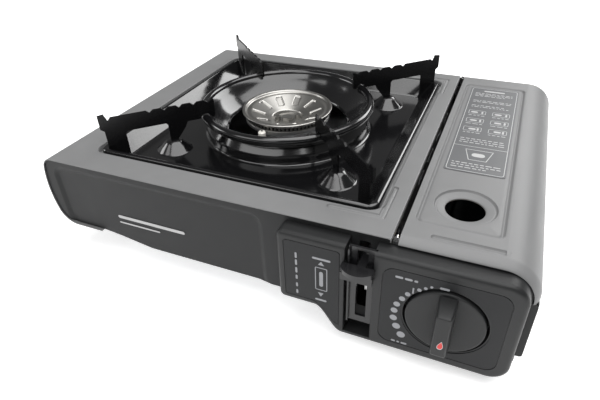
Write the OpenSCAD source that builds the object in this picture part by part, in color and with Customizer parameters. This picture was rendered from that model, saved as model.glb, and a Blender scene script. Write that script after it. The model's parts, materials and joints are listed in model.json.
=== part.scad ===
/* [Overall] */
// Length across the stove, left end to right end
stove_l = 343; // [330:1:360]
// Depth of the pressed top, front edge to rear edge
stove_d = 257.4; // [250:0.2:270]
// Height of the flat top above the ground
deck_z = 86; // [84:0.5:90]
// Thickness of the pressed steel sheet
sheet = 0.8; // [0.6:0.1:1]

/* [Canister side] */
// Width of the dark slot between the top and the canister lid
lid_gap = 3.8; // [3.6:0.1:4.2]
// Radius of the long rounded edge of the lid
lid_edge_r = 21; // [18:0.5:24]
// Height of the lower edge of the lid's side wall
lid_skirt_z = 64; // [60:0.5:64]
// Radius of the sight hole in the lid
sight_hole_r = 11.8; // [9:0.2:14]
// Radius of the gas canister that the bay takes
canister_r = 34.5; // [33:0.5:35]

/* [Drip pan] */
// Side length of the square drip pan
pan_side = 212.6; // [208:0.2:214]
// Depth of the pan floor below the top
pan_drop = 12; // [10:0.5:13]
// Radius of the raised wind ring, to the middle of its rolled edge
ring_r = 67.5; // [67:0.1:68]
// Height of the middle of the rolled edge above the top
ring_rise = 8.4; // [8:0.1:9]
// Height of the plain pot rest above the top
rest_rise = 23; // [20:0.5:24]
// Reach of an arm from the burner's middle to its tip
arm_reach = 145; // [140:1:146]
// Thickness of an arm
arm_t = 1.6; // [1.2:0.1:2]

/* [Burner] */
// Radius of the burner cap
cap_r = 37; // [36:0.2:37.6]
// Number of flame ports round the burner
ports = 68; // [48:4:72]
// Outer radius of the mixing tube
tube_r = 8; // [7:0.5:9]

/* [Controls] */
// Radius of the knob's disc
knob_r = 22.3; // [20:0.1:23]
// Turn of the knob from closed to full flame
knob_turn = 135; // [120:5:150]
// Travel of the canister lever, up to down
lever_travel = 25; // [20:1:25]
// Travel of the canister carriage towards the regulator
carriage_travel = 7; // [5:0.5:7]
// Stroke of the igniter's plunger
plunger_stroke = 5; // [4:0.5:5]

/* [Hidden] */
$fn = 64;

// Places, X to the right, Y to the back, Z up, all from the middle of the footprint
front_y = -115.7;
rear_y = front_y + stove_d;
mid_y = (front_y + rear_y) / 2;
wall_inset = 1.1;
wall_front_y = front_y + wall_inset;
wall_back_y = wall_front_y + sheet;
left_x = -stove_l / 2;
right_x = stove_l / 2;
slot_x = 93.5;
deck_end_x = slot_x - 2.2;
lid_start_x = deck_end_x + lid_gap;
hinge_z = deck_z - 1;
// Left end: three arcs that follow one another
shoulder_r = 10;
bulge_r = 75;
bulge_tilt = 15;
shoulder_at = [left_x + bulge_r - (bulge_r - shoulder_r) * cos(bulge_tilt), deck_z - shoulder_r];
bulge_at = shoulder_at - (bulge_r - shoulder_r) * [cos(180 - bulge_tilt), sin(180 - bulge_tilt)];
heel_r = 15.5;
heel_at = bulge_at + (bulge_r - heel_r) * [cos(180 + bulge_tilt), sin(180 + bulge_tilt)];
heel_end_x = left_x + 41;
floor_z = heel_at[1] - heel_r + sheet;
// Right end
corner_at = [right_x - lid_edge_r, deck_z - lid_edge_r];
tray_z = 10;
tray_left_x = 66;
tray_right_x = 167.3;
wall_right_x = tray_right_x + 0.3;
side_x = right_x - 0.3;
side_low_z = 21.5;
side_top_z = lid_skirt_z - 0.6;
tray_corner_r = 8;
partition_x = 87;
skirt_z = 22.7;
// Drip pan and burner
burner_x = -30.2;
burner_y = 15;
pan_corner_r = 7;
pan_rest_z = deck_z - 4.4;
pan_floor_z = deck_z - pan_drop;
rim_w = 4;
rim_h = 4.8;
slope = 9;
dome_at = 95;
dome_r = 14;
ring_foot_r = 70;
bead_r = 3.2;
bead_z = deck_z + ring_rise;
dome_h = 8.2;
arm_angles = [225, 315, 135, 45];
port_z = 84.4;
cap_z = 88.4;
hub_z = 78.4;
hub_t = 1.2;
cap_screw_reach = 8.3;
cap_screw_turn = 31;
burner_foot_z = 58;
burner_neck_r = 19;
tube_z = 60;
tube_y = -80;
tube_run_x = 20;
wide_bend_r = 35;
tight_bend_r = 18;
// Control panel
panel_x0 = 24.5;
panel_x1 = 166;
panel_front_y = -125.7;
panel_top_z = 81;
panel_low_z = 8.5;
panel_high_z = 27;
panel_wall = 2;
knob_x = 127;
knob_z = 44;
knob_gap = 2;
lever_x = 77.8;
lever_w = 19.6;
lever_top_z = 72;
canister_x = 129;
canister_z = 47.5;
socket_y = -62;
cam_y = -109.3;
cam_t = 3;
cam_r = 8;
plunger_gap = 0.55;
pin_y = -98;
pin_z = 44;
hinge_pin_r = 0.8;
fit = 0.05;
screw_xs = [panel_x0 + 8, 104];
screw_z = 66;
screw_r = 1.3;

// Points on an arc, from angle a0 to angle a1
function arc(at, r, a0, a1, n = 8) =
  [for (i = [0:n]) at + r * [cos(a0 + (a1 - a0) * i / n), sin(a0 + (a1 - a0) * i / n)]];
// Outline of the left end, drawn t inside the outer face
function left_end(t) = concat(
  arc(shoulder_at, shoulder_r - t, 90, 180 - bulge_tilt, 8),
  arc(bulge_at, bulge_r - t, 180 - bulge_tilt, 180 + bulge_tilt, 6),
  arc(heel_at, heel_r - t, 180 + bulge_tilt, 270, 8));
// S-shaped step between a high and a low level, falling to the right
function s_step(x0, z0, x1, z1, n = 10) =
  [for (i = [0:n]) [x0 + (x1 - x0) * i / n, z1 + (z0 - z1) * (1 + cos(180 * i / n)) / 2]];

// Closed outline of a sheet of thickness t, which lies to the left of a line of points
function left_of(p, i) = let (d = p[min(i + 1, len(p) - 1)] - p[max(i - 1, 0)]) [-d[1], d[0]] / norm(d);
function sheet_outline(p, t) = concat(p, [for (i = [len(p) - 1:-1:0]) p[i] + t * left_of(p, i)]);

// Extrudes an X-Z outline from y0 to y1
module along_y(y0, y1) {
  translate([0, y1, 0]) rotate([90, 0, 0]) linear_extrude(y1 - y0) children();
}
// Extrudes a Y-Z outline from x0 to x1
module along_x(x0, x1) {
  translate([x0, 0, 0]) rotate([90, 0, 90]) linear_extrude(x1 - x0) children();
}
module box(a, b) {
  translate(a) cube(b - a);
}
// Rectangle with round corners, from corner a to corner b
module round_rect(a, b, r) {
  translate([a[0] + r, a[1]]) square([b[0] - a[0] - 2 * r, b[1] - a[1]]);
  translate([a[0], a[1] + r]) square([b[0] - a[0], b[1] - a[1] - 2 * r]);
  for (x = [a[0] + r, b[0] - r])
    for (y = [a[1] + r, b[1] - r])
      translate([x, y]) circle(r);
}
// The same thing at the front and, mirrored, at the rear
module at_rear() {
  translate([0, 2 * mid_y, 0]) mirror([0, 1, 0]) children();
}

// Square outline of the pan's seat, grown by g
module pan_outline(g, r = pan_corner_r) {
  h = pan_side / 2 + g;
  round_rect([burner_x - h, burner_y - h], [burner_x + h, burner_y + h], r + g);
}
// L-shaped bead beside a right-hand corner of the pan
module corner_bead(depth) {
  bead_r = 2.2;
  run = 32;
  x = burner_x + pan_side / 2 + 4.8;
  y = burner_y - pan_side / 2 - 6.6;
  translate([x, y, deck_z - depth]) linear_extrude(depth + 1) {
    translate([-run, -bead_r]) square([run, 2 * bead_r]);
    translate([-bead_r, 0]) square([2 * bead_r, run]);
    for (at = [[-run, 0], [0, 0], [0, run]])
      translate(at) circle(bead_r);
  }
}
module deck_shell() {
  seat_gap = 2.6;
  ledge_in = 5.5;
  seat_z = pan_rest_z - 0.3 - sheet;
  color("#6d7072") {
    difference() {
      along_y(front_y, rear_y) difference() {
        polygon(concat([[deck_end_x, deck_z]], left_end(0),
          [[heel_end_x, floor_z - sheet], [heel_end_x, floor_z + 1], [deck_end_x, floor_z + 1]]));
        polygon(concat([[deck_end_x + 1, deck_z - sheet]], left_end(sheet),
          [[deck_end_x + 1, floor_z]]));
      }
      translate([0, 0, deck_z - 2]) linear_extrude(3) pan_outline(seat_gap);
      corner_bead(0.45);
      translate([0, 2 * burner_y, 0]) mirror([0, 1, 0]) corner_bead(0.45);
    }
    difference() {
      translate([0, 0, seat_z]) linear_extrude(deck_z - sheet - seat_z) pan_outline(seat_gap + sheet);
      translate([0, 0, seat_z + sheet]) linear_extrude(9) pan_outline(seat_gap);
      translate([0, 0, seat_z - 1]) linear_extrude(9) pan_outline(-ledge_in);
    }
  }
}

// Outline shared by the front and the rear wall
module wall_outline() {
  low_z = 8.5;
  corner_r = wall_right_x - corner_at[0];
  difference() {
    union() {
      polygon(concat([[slot_x, deck_z - sheet]], left_end(sheet), [[heel_end_x, floor_z],
        [heel_end_x + 17, floor_z - 2], [heel_end_x + 44, skirt_z]],
        s_step(43, skirt_z, 60, low_z), [[slot_x + 9, low_z], [slot_x + 9, 60], [slot_x, 60]]));
      translate([slot_x - 1, low_z]) round_rect([0, 0], [wall_right_x - slot_x + 1,
        corner_at[1] - low_z + 2], 9);
      translate([slot_x - 1, low_z]) square([20, deck_z - sheet - low_z]);
      translate([slot_x - 1, corner_at[1] - 20]) square([corner_at[0] - slot_x + 1, 20 + corner_r]);
      translate([slot_x - 1, corner_at[1] - 20]) square([wall_right_x - slot_x + 1, 20]);
      translate(corner_at) circle(corner_r);
      round_rect([corner_at[0], side_low_z], [side_x, side_top_z], 2);
    }
    translate([lid_start_x - 4, deck_z - 1.3]) square([80, 2]);
  }
}
// Where the pressed panel of the front wall lies
module wall_panel_outline(g) {
  round_rect([left_x + 9.3 - g, skirt_z - 20], [10.5 + g, deck_z - 5 + g], 10 + g);
}
wall_press = 1.4;
module front_wall() {
  color("#3b3d3f") difference() {
    union() {
      along_y(wall_front_y, wall_back_y) wall_outline();
      along_y(wall_front_y, wall_back_y + wall_press) intersection() {
        wall_outline();
        wall_panel_outline(sheet);
      }
    }
    along_y(wall_front_y - 1, wall_front_y + wall_press) intersection() {
      wall_panel_outline(0);
      translate([0, 0.6]) wall_outline();
    }
    along_y(wall_front_y - 1, wall_back_y + 1) {
      translate([lever_x, 53]) square([6.6, 52], center = true);
      translate([knob_x, knob_z]) circle(9);
      for (x = screw_xs)
        translate([x, screw_z]) circle(screw_r);
    }
  }
}
module rear_wall() {
  vent_w = 28;
  vent_h = 4;
  color("#3b3d3f") difference() {
    at_rear() along_y(wall_front_y, wall_back_y) wall_outline();
    for (row = [0:2])
      for (col = [0:3])
        along_y(rear_y - 6, rear_y + 1) translate([-110 + col * 44, 42 + row * 12])
          round_rect([0, 0], [vent_w, vent_h], vent_h / 2 - 0.01);
  }
}
module base_plate() {
  hole_r = 4;
  color("#9a9da0") difference() {
    box([heel_at[0], wall_back_y + wall_press, floor_z],
      [tray_left_x, 2 * mid_y - wall_back_y, floor_z + sheet]);
    for (i = [-2:2])
      for (j = [-1:1])
        translate([burner_x + i * 24, burner_y + j * 40 + 2, floor_z - 1]) cylinder(h = 3, r = hole_r);
  }
}
module canister_tray() {
  r = tray_corner_r;
  color("#9a9da0") along_y(wall_back_y, 2 * mid_y - wall_back_y) {
    translate([tray_left_x, tray_z]) square([tray_right_x - tray_left_x - r, sheet]);
    translate([tray_left_x, tray_z]) square([sheet, floor_z + sheet - tray_z]);
    translate([tray_right_x - sheet, tray_z + r]) square([sheet, side_low_z + sheet - tray_z - r]);
    translate([tray_right_x - sheet, side_low_z]) square([side_x - tray_right_x + sheet, sheet]);
    translate([side_x - sheet, side_low_z]) square([sheet, side_top_z - side_low_z]);
    translate([tray_right_x - r, tray_z + r]) difference() {
      circle(r);
      circle(r - sheet);
      translate([-10, 0]) square([20, 10]);
      translate([-10, -10]) square([10, 20]);
    }
  }
}
module partition_wall() {
  color("#9a9da0") difference() {
    box([partition_x, wall_back_y, tray_z + sheet],
      [partition_x + sheet, 2 * mid_y - wall_back_y, deck_z - sheet]);
    along_x(partition_x - 1, partition_x + 2) {
      translate([tube_y, tube_z]) circle(6.5);
      round_rect([pin_y - carriage_travel - 4.5, pin_z - 5], [pin_y + 4.5, pin_z + 5], 1);
      translate([-60, 24]) circle(3);
      for (i = [0:3])
        round_rect([-20 + i * 36, 60], [4 + i * 36, 64], 1.9);
    }
  }
}

// Foot of height h, slightly tapered
module foot(x, y, h) {
  color("#1c1c1c") translate([x, y, 0]) rotate_extrude()
    polygon([[0, 0], [9.5, 0], [10.5, 1], [12, h], [0, h]]);
}
left_foot_x = -118;
right_foot_x = 142;
front_foot_y = -62;
rear_foot_y = 100;
module foot_front_left() { foot(left_foot_x, front_foot_y, floor_z); }
module foot_rear_left() { foot(left_foot_x, rear_foot_y, floor_z); }
module foot_front_right() { foot(right_foot_x, front_foot_y, tray_z); }
module foot_rear_right() { foot(right_foot_x, rear_foot_y, tray_z); }

// Bracket inside an end wall, with the pin that the lid turns on
module hinge_bracket() {
  plate_t = 0.9;
  color("#c4c6c8") {
    along_y(wall_back_y, wall_back_y + plate_t) {
      translate([slot_x - 1.5, hinge_z - 22]) square([3, 22]);
      translate([slot_x - 4.5, hinge_z - 22]) square([9, 14]);
      translate([slot_x, hinge_z]) circle(1.5);
    }
    along_y(wall_back_y, wall_back_y + 3.4) translate([slot_x, hinge_z]) circle(hinge_pin_r);
  }
}
module hinge_bracket_front() { hinge_bracket(); }
module hinge_bracket_rear() { at_rear() hinge_bracket(); }

// Outline of the control panel, drawn g inside its edge
module panel_outline(g) {
  r = 12;
  difference() {
    union() {
      round_rect([panel_x0 + g, panel_high_z + g], [panel_x1 - g, panel_top_z - g], 4);
      round_rect([100, panel_low_z + g], [panel_x1 - g, panel_top_z - g], r - g);
      polygon(concat([[110, panel_top_z - 8], [panel_x0 + 20, panel_top_z - 8],
        [panel_x0 + 20, panel_high_z + g]],
        s_step(48 + g / 2, panel_high_z + g, 66 + g / 2, panel_low_z + g), [[110, panel_low_z + g]]));
    }
    difference() {
      translate([panel_x1 - r, panel_top_z - r]) square(r + 1);
      translate([panel_x1 - r, panel_top_z - r]) circle(r - g);
    }
  }
}
module lock_overlay_outline(g) {
  round_rect([29.3 + g, 48], [65 - g, 76 - g], 2);
  polygon(concat([[29.3 + g, 52], [29.3 + g, 31.4 + g]],
    s_step(47 + g / 2, 31.4 + g, 65 - g, 16 + g), [[65 - g, 52]]));
}
module dial_overlay_outline(g) {
  round_rect([90 + g, 15 + g], [158.6 - g, 74.3 - g], 7);
}
module control_panel() {
  inset = 0.5;
  color("#2b2d2f") difference() {
    union() {
      along_y(panel_front_y + 1.2, wall_front_y) panel_outline(0);
      along_y(panel_front_y + 0.5, wall_front_y) panel_outline(0.4);
      along_y(panel_front_y, wall_front_y) panel_outline(1.1);
    }
    difference() {
      along_y(panel_front_y + panel_wall, wall_front_y + 1) panel_outline(panel_wall);
      along_y(panel_front_y, wall_front_y) translate([knob_x, knob_z])
        circle(knob_r + knob_gap + panel_wall);
      for (x = screw_xs)
        along_y(panel_front_y, wall_front_y) translate([x, screw_z]) circle(3.5);
      box([lever_x - 10.3, panel_front_y, 20], [lever_x + 10.3, wall_front_y, panel_top_z]);
    }
    along_y(panel_front_y - 1, wall_front_y - panel_wall) translate([knob_x, knob_z])
      circle(knob_r + knob_gap);
    along_y(panel_front_y - 1, wall_front_y + 1) translate([knob_x, knob_z]) circle(6);
    along_y(panel_front_y - 1, panel_front_y + inset) {
      lock_overlay_outline(0);
      dial_overlay_outline(0);
    }
    along_y(panel_front_y - 1, panel_front_y + 4) translate([lever_x - 8.3, 22]) square([16.6, 70]);
    along_y(panel_front_y - 1, wall_front_y + 1) translate([lever_x - 8.3, 11]) square([16.6, 11]);
    along_y(panel_front_y - 1, wall_front_y + 1) translate([lever_x - 3.3, 27]) square([6.6, 52]);
    for (x = screw_xs)
      along_y(panel_front_y + 3, wall_front_y + 1) translate([x, screw_z]) circle(screw_r);
  }
}
module lever_guide() {
  color("#121314") difference() {
    union() {
      box([lever_x - 8.2, panel_front_y + 2.4, 22.2], [lever_x + 8.2, panel_front_y + 4, panel_top_z]);
      for (s = [-1, 1])
        box([lever_x + s * 7.7 - 0.5, panel_front_y + 0.3, 22.2],
          [lever_x + s * 7.7 + 0.5, panel_front_y + 3, panel_top_z - 1.5]);
    }
    box([lever_x - 3.3, panel_front_y - 1, 27], [lever_x + 3.3, panel_front_y + 9, 79]);
  }
}
module lock_overlay() {
  color("#33373b") along_y(panel_front_y + 0.1, panel_front_y + 0.5) lock_overlay_outline(0.35);
}
module dial_overlay() {
  color("#33373b") along_y(panel_front_y + 0.1, panel_front_y + 0.5) difference() {
    dial_overlay_outline(0.35);
    translate([knob_x, knob_z]) circle(knob_r + knob_gap + 0.4);
  }
}
// Self-tapping screw from inside the front wall into a boss of the panel
module panel_screw(x) {
  color("#b8babc") {
    along_y(wall_back_y, wall_back_y + 2) translate([x, screw_z]) circle(3);
    along_y(wall_front_y - 6, wall_back_y + 1) translate([x, screw_z]) circle(screw_r);
  }
}
module panel_screw_left() { panel_screw(screw_xs[0]); }
module panel_screw_right() { panel_screw(screw_xs[1]); }

ear_xs = [knob_x - 25, knob_x + 25];
ear_z = 48;
valve_y = -100;
regulator_z = 66;
module regulator_body() {
  color("#a9acae") difference() {
    union() {
      box([knob_x - 20, valve_y, 28], [knob_x + 20, socket_y - 6, regulator_z]);
      along_y(valve_y - 6, valve_y + 1) translate([knob_x, knob_z]) circle(8);
      along_y(socket_y - 8, socket_y) translate([canister_x, canister_z]) circle(11);
      along_x(knob_x - 26, knob_x - 19) translate([tube_y, tube_z]) circle(5.2);
      for (x = ear_xs)
        box([x - 6, valve_y, 30], [x + 6, valve_y + 3, 56]);
      for (x = [knob_x - 14, knob_x + 8])
        box([x, valve_y + 6, tray_z + sheet], [x + 6, socket_y - 12, 29]);
    }
    along_y(valve_y - 7, valve_y + 14) translate([knob_x, knob_z]) circle(4 + fit);
    along_y(socket_y - 12, socket_y + 1) translate([canister_x, canister_z]) circle(6);
    along_x(knob_x - 27, knob_x - 12) translate([tube_y, tube_z]) circle(3);
    for (x = ear_xs)
      along_y(valve_y - 1, valve_y + 4) translate([x, ear_z]) circle(screw_r);
  }
}
// Upright plate that the regulator is screwed to
module valve_bracket() {
  t = 1.2;
  color("#c4c6c8") difference() {
    union() {
      box([knob_x - 31, valve_y - t, tray_z + sheet], [knob_x + 31, valve_y, 58]);
      box([knob_x - 31, valve_y - t, tray_z + sheet], [knob_x - 15, valve_y + 5, tray_z + sheet + t]);
      box([knob_x + 15, valve_y - t, tray_z + sheet], [knob_x + 31, valve_y + 5, tray_z + sheet + t]);
    }
    along_y(valve_y - 9, valve_y + 1) {
      translate([knob_x, knob_z]) circle(9);
      for (x = ear_xs)
        translate([x, ear_z]) circle(screw_r);
    }
  }
}
module regulator_cap() {
  color("#c9b26a") translate([knob_x, -84, regulator_z]) rotate_extrude()
    polygon([[0, 0], [15, 0], [15, 2.5], [12, 5.5], [5, 7], [0, 7]]);
}
module regulator_screw(x) {
  color("#b8babc") {
    along_y(valve_y - 3, valve_y - 1.2) translate([x, ear_z]) circle(2.8);
    along_y(valve_y - 2, valve_y + 4.5) translate([x, ear_z]) circle(screw_r);
  }
}
module regulator_screw_left() { regulator_screw(ear_xs[0]); }
module regulator_screw_right() { regulator_screw(ear_xs[1]); }
module canister_socket() {
  color("#c8a04a") along_y(socket_y - 12, socket_y + 3) translate([canister_x, canister_z])
    difference() {
      circle(6);
      circle(2.1);
    }
}
module jet_nozzle() {
  color("#c8a04a") difference() {
    union() {
      along_x(knob_x - 34, knob_x - 12) translate([tube_y, tube_z]) circle(3);
      along_x(knob_x - 32, knob_x - 26) translate([tube_y, tube_z]) circle(5, $fn = 6);
    }
    along_x(knob_x - 35, knob_x - 11) translate([tube_y, tube_z]) circle(0.6);
  }
}
// Bent rail that the canister lies on
module cradle(side) {
  reach = [18, 26];
  gap = 0.4;
  tops = [for (x = reach) [side * x, -sqrt(pow(canister_r + gap, 2) - x * x)]];
  base = tray_z + sheet - canister_z;
  inner_tops = [tops[0] + sheet * [side, -1], tops[1] - sheet * [side, 1]];
  color("#9a9da0") along_y(-44, 128) translate([canister_x, canister_z]) difference() {
    polygon([[tops[0][0], base], [tops[1][0], base], tops[1], tops[0]]);
    polygon([[inner_tops[0][0], base - 1], [inner_tops[1][0], base - 1], inner_tops[1], inner_tops[0]]);
  }
}
module cradle_left() { cradle(-1); }
module cradle_right() { cradle(1); }
// Extrudes an X-Y outline from z0 to z1
module along_z(z0, z1) {
  translate([0, 0, z0]) linear_extrude(z1 - z0) children();
}
piezo_y = cam_y + cam_t / 2;
plunger_r = 3;
plunger_top = knob_z - cam_r - plunger_gap;
plunger_low = 20.2;
module piezo_body() {
  top = plunger_top - 3 - plunger_stroke - 0.6;
  color("#1f2022") difference() {
    along_z(tray_z + sheet, top) translate([knob_x, piezo_y]) circle(5.8);
    along_z(plunger_low - plunger_stroke - 0.6, top + 1) translate([knob_x, piezo_y])
      circle(plunger_r + fit);
  }
}
module piezo_plunger() {
  color("#d8d8d2") {
    along_z(plunger_low, plunger_top - 2) translate([knob_x, piezo_y]) circle(plunger_r);
    along_z(plunger_top - 3, plunger_top) translate([knob_x, piezo_y]) square([3, 2.6], center = true);
  }
}
// Lead from the igniter to the electrode, clipped down all the way
wire_r = 1.2;
wire_route = [[121, -108, 14], [112, -107, 13.5], [100, -106, 13.5], [93, -102, 14], [91, -90, 15],
  [91, -72, 18], [90.5, -63, 22.5], [88.5, -60.4, 23.8], [85.5, -59.8, 24.4], [81, -59, 28],
  [76, -57.5, 34], [60, -54, 36], [40, -50, 36], [20, -48, 36], [0, -46, 36], [-18, -43, 39],
  [-30, -37, 44], [-34, -31, 51], [-35, -26.5, 58], [-34.2, -24.5, 62], [-34.2, -24.5, 65]];
function unit(v) = v / norm(v);
function wire_side(i) = let (n = len(wire_route) - 1)
  unit(wire_route[min(i + 1, n)] - wire_route[max(i - 1, 0)]);
function wire_ring(i) = let (d = wire_side(i), u = unit(cross(d, [0.1, 0.2, 1])), v = cross(d, u))
  [for (k = [0:7]) wire_route[i] + wire_r * (cos(45 * k) * u + sin(45 * k) * v)];
module igniter_wire() {
  rings = len(wire_route);
  color("#a02a2a") polyhedron(
    points = [for (i = [0:rings - 1]) each wire_ring(i)],
    faces = concat([[for (k = [0:7]) k]], [[for (k = [7:-1:0]) (rings - 1) * 8 + k]],
      [for (i = [0:rings - 2]) for (k = [0:7])
        [i * 8 + (k + 1) % 8, i * 8 + k, (i + 1) * 8 + k, (i + 1) * 8 + (k + 1) % 8]]));
}
electrode_at = [burner_x - 4, burner_y - 39.5, 65.4];
electrode_h = 20.8;
electrode_r = 3;
electrode_bore = 0.8;
bracket_z = 70;
module igniter_bracket() {
  reach = norm([electrode_at[0] - burner_x, electrode_at[1] - burner_y]);
  turn = atan2(electrode_at[1] - burner_y, electrode_at[0] - burner_x);
  w = 10;
  color("#c4c6c8") difference() {
    translate([burner_x, burner_y, bracket_z - 1]) rotate([0, 0, turn]) translate([0, -w / 2, 0])
      cube([reach + 5, w, 1]);
    translate([burner_x, burner_y, bracket_z - 3]) cylinder(h = 6, r = burner_neck_r);
    translate([electrode_at[0], electrode_at[1], bracket_z - 4]) cylinder(h = 9, r = electrode_r);
  }
}
module electrode() {
  collar = bracket_z - electrode_at[2];
  r = electrode_r;
  color("#f1f0ea") translate(electrode_at) difference() {
    rotate_extrude() polygon([[0, 0], [r - fit, 0], [r - fit, collar], [r + 1, collar], [r + 1, collar + 2],
      [r, collar + 3], [r, electrode_h - 0.7], [r - 0.7, electrode_h], [0, electrode_h]]);
    translate([0, 0, -1]) cylinder(h = electrode_h + 2, r = electrode_bore);
  }
}
module electrode_pin() {
  color("#c4c6c8") translate(electrode_at) cylinder(h = electrode_h + 0.6, r = electrode_bore);
}
// Path of the mixing tube from its mouth to the burner's side, for a solid rod of radius r
module tube_path(r, grow) {
  mouth_x = 82;
  first = [tube_run_x + wide_bend_r, tube_y + wide_bend_r];
  second = [tube_run_x - tight_bend_r, burner_y - tight_bend_r];
  along_x(first[0], mouth_x + grow) translate([tube_y, tube_z]) circle(r);
  translate([first[0], first[1], tube_z]) rotate([0, 0, 180]) rotate_extrude(angle = 90)
    translate([wide_bend_r, 0]) circle(r);
  along_y(first[1], second[1]) translate([tube_run_x, tube_z]) circle(r);
  translate([second[0], second[1], tube_z]) rotate_extrude(angle = 90)
    translate([tight_bend_r, 0]) circle(r);
  along_x(burner_x + burner_neck_r - 2 - grow, second[0]) translate([burner_y, tube_z]) circle(r);
}
module mixing_tube() {
  wall = 1;
  color("#b3b6b8") difference() {
    union() {
      tube_path(tube_r, 0);
      along_x(78, 82) translate([tube_y, tube_z]) circle(tube_r + 1.5);
    }
    tube_path(tube_r - wall, 1);
  }
}
module burner_bracket() {
  foot_w = 16;
  color("#9a9da0") along_y(burner_y - 14, burner_y + 14) {
    translate([burner_x - 26, burner_foot_z - 11]) square([52, 1.2]);
    for (s = [-1, 1]) {
      translate([burner_x + s * 26 - 0.6, floor_z + sheet])
        square([1.2, burner_foot_z - 9.8 - floor_z - sheet]);
      translate([burner_x + s * (26 + foot_w / 2) - foot_w / 2, floor_z + sheet]) square([foot_w, 1.2]);
    }
  }
}
// Children at both cap screws
module at_cap_screw(s) {
  translate([burner_x, burner_y, 0]) rotate([0, 0, cap_screw_turn]) translate([s * cap_screw_reach, 0, 0])
    children();
}
module burner_body() {
  z0 = burner_foot_z - 9.8;
  neck = burner_neck_r;
  post_r = 3;
  color("#b9bcbe") {
    translate([burner_x, burner_y, 0]) difference() {
      union() {
        rotate_extrude() polygon([[0, z0], [neck - 3, z0], [neck, z0 + 4], [neck, 70], [32, port_z - 3.4],
          [34.6, port_z - 2.4], [34.6, port_z], [0, port_z]]);
        along_x(0, burner_neck_r + 6) translate([0, tube_z]) circle(tube_r + 2.5);
      }
      rotate_extrude() polygon([[0, z0 + 4], [neck - 4, z0 + 4], [neck - 3, z0 + 6], [neck - 3, 71],
        [29, port_z - 3], [30.5, port_z - 1], [30.5, port_z + 1], [0, port_z + 1]]);
      along_x(neck - 8, neck + 7) translate([0, tube_z]) circle(tube_r);
    }
    for (s = [-1, 0, 1])
      at_cap_screw(s) translate([0, 0, z0]) difference() {
        cylinder(h = hub_z - z0, r = post_r);
        translate([0, 0, 20]) cylinder(h = 30, r = screw_r);
      }
  }
}
module burner_ring() {
  notch_w = 1.6;
  ring_in = 31.7;
  ring_w = 2.5;
  color("#cfd1d2") translate([burner_x, burner_y, port_z]) difference() {
    rotate_extrude() translate([ring_in, 0]) square([ring_w, cap_z - port_z]);
    for (i = [0:ports - 1])
      rotate([0, 0, i * 360 / ports]) translate([ring_in - 2, -notch_w / 2, 1])
        cube([ring_w + 4, notch_w, 9]);
  }
}
// Pressed bowl with a rolled rim, radial dents and a sunk middle
module burner_cap() {
  dents = 10;
  dent_w = 5.6;
  dent_run = 12.4;
  dent_depth = 0.7;
  floor_top = hub_z + hub_t;
  bowl_foot = [13.3, cap_z - 6.2];
  bowl_rim = [31, cap_z + 1.1];
  tilt = atan2(bowl_rim[1] - bowl_foot[1], bowl_rim[0] - bowl_foot[0]);
  color("#e6e7e8") translate([burner_x, burner_y, 0]) difference() {
    rotate_extrude() polygon([[0, hub_z], [13.6, hub_z], [13.7, cap_z - 7.3], [30.6, cap_z - 0.3],
      [31.6, cap_z], [35.4, cap_z], [cap_r, cap_z + 1.7], [cap_r, cap_z + 2.2], [cap_r - 0.7, cap_z + 2.7],
      [cap_r - 1.8, cap_z + 2.6], [33.2, cap_z + 1.7], bowl_rim, bowl_foot, [12.5, cap_z - 6.7],
      [12.3, floor_top], [0, floor_top]]);
    for (i = [0:dents - 1])
      rotate([0, 0, 22.5 + i * 360 / dents]) translate([bowl_foot[0], 0, bowl_foot[1]]) rotate([0, -tilt, 0])
        translate([4.5, -dent_w / 2, -dent_depth]) cube([dent_run, dent_w, 4]);
    rotate([0, 0, cap_screw_turn]) for (s = [-1, 0, 1])
      translate([s * cap_screw_reach, 0, hub_z - 1]) cylinder(h = 4, r = 1.7);
  }
}
// Screw with a tall round head
module cap_screw(s) {
  head_h = 3.6;
  color("#f2f2f2") at_cap_screw(s) difference() {
    union() {
      translate([0, 0, hub_z + hub_t]) cylinder(h = head_h, r = 2.4);
      translate([0, 0, hub_z - 6]) cylinder(h = 8, r = screw_r);
    }
    translate([0, 0, hub_z + hub_t + head_h - 0.8]) cylinder(h = 2, r = 0.8);
  }
}
module cap_screw_left() { cap_screw(-1); }
module cap_screw_right() { cap_screw(1); }
module cap_nut() {
  color("#f2f2f2") translate([burner_x, burner_y, 0]) {
    translate([0, 0, hub_z + hub_t]) cylinder(h = 2.4, r = 4.9, $fn = 6);
    translate([0, 0, hub_z - 6]) cylinder(h = 8, r = screw_r);
  }
}

module valve_spindle() {
  color("#c8a04a") {
    along_y(panel_front_y + 3, -88) translate([knob_x, knob_z]) circle(4);
  }
}
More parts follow.
